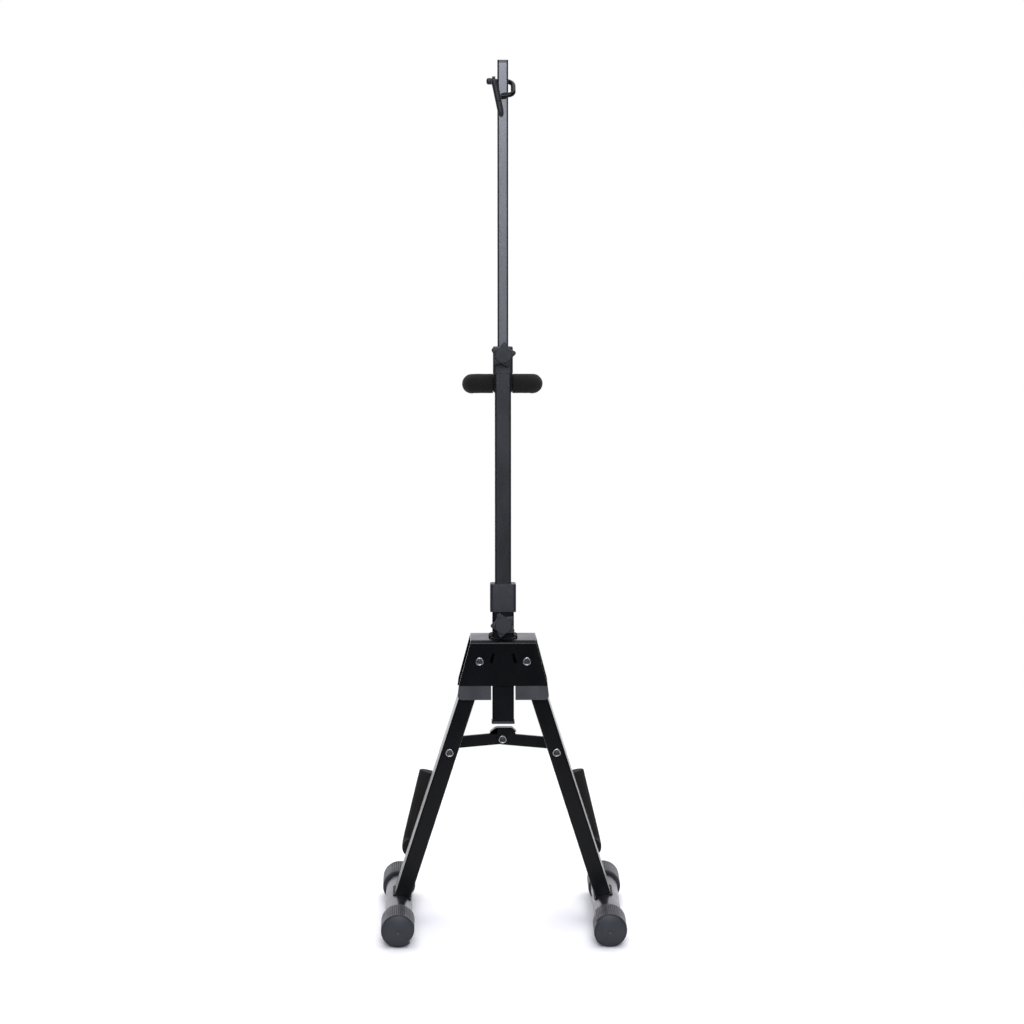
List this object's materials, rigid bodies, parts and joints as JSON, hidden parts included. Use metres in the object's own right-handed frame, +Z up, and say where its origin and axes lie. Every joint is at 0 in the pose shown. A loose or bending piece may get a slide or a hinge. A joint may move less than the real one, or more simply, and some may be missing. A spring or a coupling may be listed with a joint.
{
  "type": "folding instrument stand",
  "caption": "Folding A-frame stand for a large string instrument, with a telescoping square mast, foam neck yoke, foam body arms, spreader links, levelling foot caps and a bow hook.",
  "frame": {"origin": "on the floor, at the centre of the footprint", "axes": "+Z up, +Y towards the instrument, +X to the right seen from behind; legs in the plane y = 0"},
  "size_m": [0.287, 0.2328, 1.0163],
  "materials": {
    "black_steel": "satin black powder coat",
    "black_plastic": "moulded black plastic, fine grain",
    "grey_rubber": "dark blue-grey rubber, ribbed",
    "black_rubber": "matte black rubber",
    "black_foam": "closed-cell foam sleeve, fine matte skin",
    "bright_steel": "bright zinc plate",
    "dark_steel": "blackened steel"
  },
  "bodies": {
    "frame": {"hinge_bracket": "black_steel", "outer_tube": "black_steel", "outer_tube_plug": "black_plastic", "lower_collar": "black_plastic", "lower_screw_boss": "black_steel", "leg_pivot_bolts": "bright_steel", "leg_pivot_nuts": "bright_steel", "leg_pivot_washers": "black_plastic"},
    "left_leg": {"left_leg_tube": "black_steel", "left_leg_plug": "black_plastic", "left_foot_tube": "black_steel", "left_arm_plate": "black_steel", "left_arm_rod": "black_steel", "left_arm_foam": "black_foam", "left_arm_screws": "dark_steel", "left_link_spacer": "bright_steel", "left_link_bolt": "bright_steel", "left_link_nut": "bright_steel"},
    "right_leg": {"right_leg_tube": "black_steel", "right_leg_plug": "black_plastic", "right_foot_tube": "black_steel", "right_arm_plate": "black_steel", "right_arm_rod": "black_steel", "right_arm_foam": "black_foam", "right_arm_screws": "dark_steel", "right_link_bolt": "bright_steel"},
    "left_link": {"left_link_bar": "black_steel", "link_centre_bolt": "bright_steel", "link_centre_nut": "bright_steel"},
    "right_link": {"right_link_bar": "black_steel", "right_link_pin": "bright_steel", "right_link_nut": "bright_steel"},
    "left_rear_foot": {"left_rear_foot_cap": "grey_rubber"},
    "left_front_foot": {"left_front_foot_cap": "grey_rubber"},
    "right_rear_foot": {"right_rear_foot_cap": "grey_rubber"},
    "right_front_foot": {"right_front_foot_cap": "grey_rubber"},
    "middle_mast": {"middle_tube": "black_steel", "middle_tube_guide": "black_plastic", "upper_collar": "black_plastic", "upper_screw_boss": "black_steel", "yoke_plate": "black_steel", "yoke_rod": "black_steel", "left_yoke_foam": "black_foam", "right_yoke_foam": "black_foam"},
    "upper_mast": {"upper_tube": "black_steel", "upper_tube_guide": "black_plastic", "top_plug": "black_plastic", "hook_rod": "black_steel", "hook_tip": "black_rubber"},
    "latch": {"latch_wire": "dark_steel", "latch_sleeve": "black_rubber"},
    "lower_clamp": {"lower_knob": "black_plastic", "lower_knob_screw": "bright_steel"},
    "upper_clamp": {"upper_knob": "black_plastic", "upper_knob_screw": "bright_steel"}
  },
  "joints": [
    {"name": "leg_fold", "type": "hinge", "parent": "frame", "child": "left_leg", "pos_m": [-0.0277, 0, 0.3216], "axis": [0, -1, 0], "range_deg": [0, 17.62]},
    {"name": "right_leg_fold", "type": "hinge", "parent": "frame", "child": "right_leg", "pos_m": [0.0277, 0, 0.3216], "axis": [0, 1, 0], "range_deg": [0, 17.63]},
    {"name": "left_link_fold", "type": "hinge", "parent": "left_leg", "child": "left_link", "pos_m": [-0.06309, 0.0268, 0.21019], "axis": [0, -1, 0], "range_deg": [0, 41.25]},
    {"name": "link_centre_fold", "type": "hinge", "parent": "left_link", "child": "right_link", "pos_m": [0, 0.0235, 0.21599], "axis": [0, 1, 0], "range_deg": [0, 117.69]},
    {"name": "left_rear_foot_turn", "type": "hinge", "parent": "left_leg", "child": "left_rear_foot", "pos_m": [-0.1235, -0.09, 0.02], "axis": [0, 1, 0], "continuous": true},
    {"name": "left_front_foot_turn", "type": "hinge", "parent": "left_leg", "child": "left_front_foot", "pos_m": [-0.1235, 0.09, 0.02], "axis": [0, 1, 0], "continuous": true},
    {"name": "right_rear_foot_turn", "type": "hinge", "parent": "right_leg", "child": "right_rear_foot", "pos_m": [0.1235, -0.09, 0.02], "axis": [0, 1, 0], "continuous": true},
    {"name": "right_front_foot_turn", "type": "hinge", "parent": "right_leg", "child": "right_front_foot", "pos_m": [0.1235, 0.09, 0.02], "axis": [0, 1, 0], "continuous": true},
    {"name": "mast_height", "type": "slide", "parent": "frame", "child": "middle_mast", "axis": [0, 0.1219, 0.9925], "range_m": [-0.03, 0.06]},
    {"name": "top_height", "type": "slide", "parent": "middle_mast", "child": "upper_mast", "axis": [0, 0.1219, 0.9925], "range_m": [-0.25, 0.08]},
    {"name": "latch_swing", "type": "hinge", "parent": "upper_mast", "child": "latch", "pos_m": [-0.0104, 0.08879, 0.9902], "axis": [-1, 0, 0], "range_deg": [0, 40]},
    {"name": "lower_knob_turn", "type": "hinge", "parent": "frame", "child": "lower_clamp", "pos_m": [0, -0.01033, 0.36311], "axis": [0, -0.9925, 0.1219], "continuous": true},
    {"name": "upper_knob_turn", "type": "hinge", "parent": "middle_mast", "child": "upper_clamp", "pos_m": [0, 0.02931, 0.67692], "axis": [0, -0.9925, 0.1219], "continuous": true}
  ],
  "couplings": [
    {"joint": "right_leg_fold", "follows": "leg_fold", "ratio": 1},
    {"joint": "left_link_fold", "follows": "leg_fold", "ratio": 2.338},
    {"joint": "link_centre_fold", "follows": "leg_fold", "ratio": 6.6759}
  ]
}
